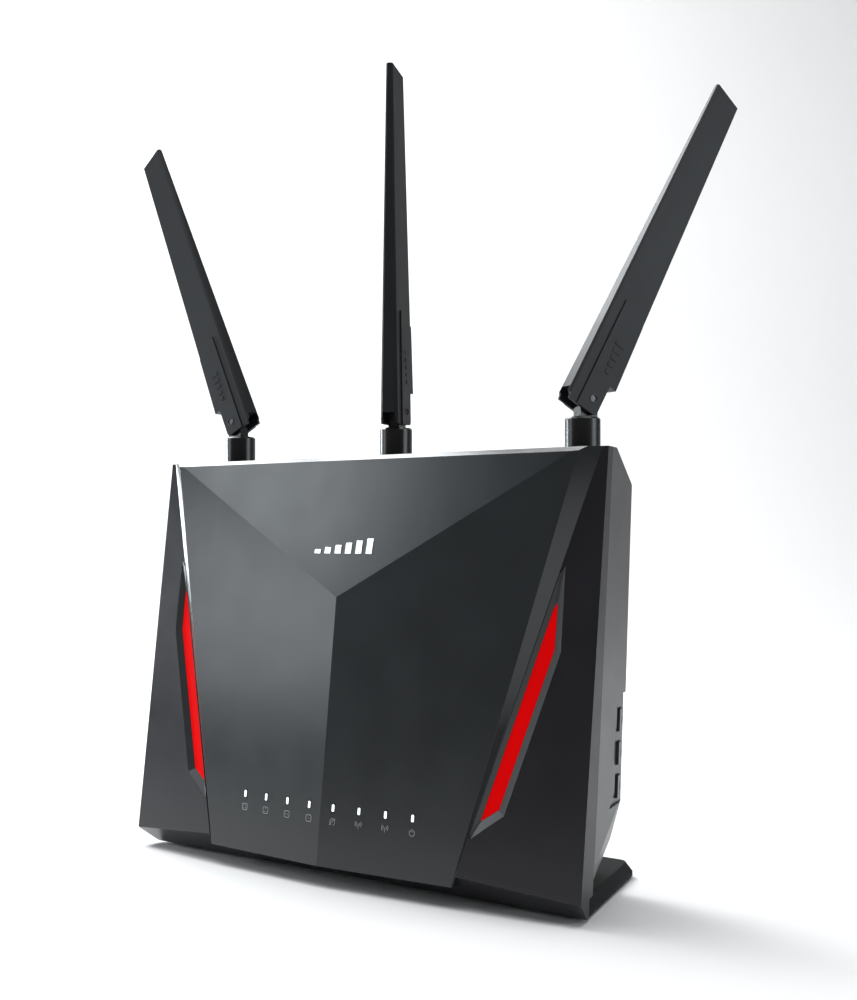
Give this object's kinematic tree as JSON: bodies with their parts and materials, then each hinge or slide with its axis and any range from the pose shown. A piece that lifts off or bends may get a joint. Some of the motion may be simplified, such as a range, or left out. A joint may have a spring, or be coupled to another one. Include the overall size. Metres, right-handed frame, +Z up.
{
  "type": "wireless router",
  "caption": "Upright desktop wireless router with a faceted front shield, red side accents, a flat stand and folding swivel antennas on top.",
  "frame": {"origin": "on the table, under the middle of the stand", "axes": "+X to the right across the front, +Y from front to back, +Z up"},
  "size_m": [0.2674, 0.1132, 0.3167],
  "materials": {
    "shield": "satin, fine texture",
    "panel": "satin",
    "bezel": "satin",
    "accent_red": "smooth saturated red",
    "badge": "satin silver",
    "light_guide": "clear white",
    "circuit_board": "solder mask",
    "case": "fine spark texture",
    "label": "blank printed film",
    "stand": "satin black",
    "foot_rubber": "matt",
    "heat_sink": "extruded",
    "thermal_pad": "soft",
    "chip": "moulded",
    "tinned_can": "tinned",
    "lan_socket": "moulded",
    "wan_socket": "moulded",
    "usb_blue": "plated",
    "socket_black": "moulded",
    "brass": "plated",
    "steel": "plated",
    "lead": "cable jacket",
    "copper_foil": "foil",
    "button": "satin",
    "reset_red": "moulded",
    "collar": "semi-gloss black",
    "antenna": "satin charcoal"
  },
  "bodies": {
    "case": {"front_shield": "shield", "front_frame": "panel", "accent_bezel_left": "bezel", "accent_bezel_right": "bezel", "accent_inlay_left": "accent_red", "accent_inlay_right": "accent_red", "front_badge": "badge", "light_guides": "light_guide", "led_board": "circuit_board", "rear_cover": "case", "rear_label": "label", "base_stand": "stand", "front_foot": "foot_rubber", "rear_feet": "foot_rubber", "main_board": "circuit_board", "main_heat_sink": "heat_sink", "radio_heat_sink": "heat_sink", "thermal_pads": "thermal_pad", "chips": "chip", "radio_shields": "tinned_can", "lan_jacks": "lan_socket", "wan_jack": "wan_socket", "usb2_port": "tinned_can", "usb3_port": "usb_blue", "dc_jack": "socket_black", "rear_switches": "socket_black", "side_button_board": "circuit_board", "side_switches": "socket_black", "magnetics": "chip", "capacitors": "chip", "inductors": "chip", "antenna_sockets": "brass", "socket_nuts": "steel", "antenna_leads": "lead", "inner_antenna": "copper_foil", "case_screws": "steel", "board_screws": "steel", "base_screws": "steel"},
    "swivel_left": {"collar_left": "collar", "knuckle_left": "collar", "hinge_pin_left": "steel"},
    "arm_left": {"blade_left": "antenna", "radiator_left": "copper_foil"},
    "swivel_middle": {"collar_middle": "collar", "knuckle_middle": "collar", "hinge_pin_middle": "steel"},
    "arm_middle": {"blade_middle": "antenna", "radiator_middle": "copper_foil"},
    "swivel_right": {"collar_right": "collar", "knuckle_right": "collar", "hinge_pin_right": "steel"},
    "arm_right": {"blade_right": "antenna", "radiator_right": "copper_foil"},
    "power_button": {"power_button": "button"},
    "reset_button": {"reset_button": "reset_red"},
    "wps_button": {"wps_button": "button"},
    "wifi_button": {"wifi_button": "button"},
    "led_button": {"led_button": "button"}
  },
  "joints": [
    {"name": "antenna_swivel_left", "type": "hinge", "parent": "case", "child": "swivel_left", "pos_m": [-0.0875, -0.007, 0.1725], "axis": [0, 0, 1], "range_deg": [-90, 90]},
    {"name": "antenna_tilt_left", "type": "hinge", "parent": "swivel_left", "child": "arm_left", "pos_m": [-0.0895, -0.00697, 0.1793], "axis": [-0.0175, -0.9998, 0], "range_deg": [-26.2, 63.8]},
    {"name": "antenna_swivel_middle", "type": "hinge", "parent": "case", "child": "swivel_middle", "pos_m": [0, -0.007, 0.1725], "axis": [0, 0, 1], "range_deg": [-95, 55]},
    {"name": "antenna_tilt_middle", "type": "hinge", "parent": "swivel_middle", "child": "arm_middle", "pos_m": [-0.00065, -0.00511, 0.1793], "axis": [-0.9455, -0.3256, 0], "range_deg": [0, 90]},
    {"name": "antenna_swivel_right", "type": "hinge", "parent": "case", "child": "swivel_right", "pos_m": [0.0875, -0.007, 0.1725], "axis": [0, 0, 1], "range_deg": [-160, 20]},
    {"name": "antenna_tilt_right", "type": "hinge", "parent": "swivel_right", "child": "arm_right", "pos_m": [0.08827, -0.00515, 0.1793], "axis": [-0.9239, 0.3827, 0], "range_deg": [-30.3, 59.7]},
    {"name": "power_press", "type": "slide", "parent": "case", "child": "power_button", "axis": [0, -1, 0], "range_m": [0, 0.0015], "stiffness_N_per_m": 900, "springref_m": -0.00033},
    {"name": "reset_press", "type": "slide", "parent": "case", "child": "reset_button", "axis": [0, -1, 0], "range_m": [0, 0.0005], "stiffness_N_per_m": 1200, "springref_m": -0.00025},
    {"name": "wps_press", "type": "slide", "parent": "case", "child": "wps_button", "axis": [-0.9504, -0.3088, 0.0368], "range_m": [0, 0.0006], "stiffness_N_per_m": 1200, "springref_m": -0.00025},
    {"name": "wifi_press", "type": "slide", "parent": "case", "child": "wifi_button", "axis": [-0.9504, -0.3088, 0.0368], "range_m": [0, 0.0006], "stiffness_N_per_m": 1200, "springref_m": -0.00025},
    {"name": "led_press", "type": "slide", "parent": "case", "child": "led_button", "axis": [-0.9504, -0.3088, 0.0368], "range_m": [0, 0.0006], "stiffness_N_per_m": 1200, "springref_m": -0.00025}
  ]
}
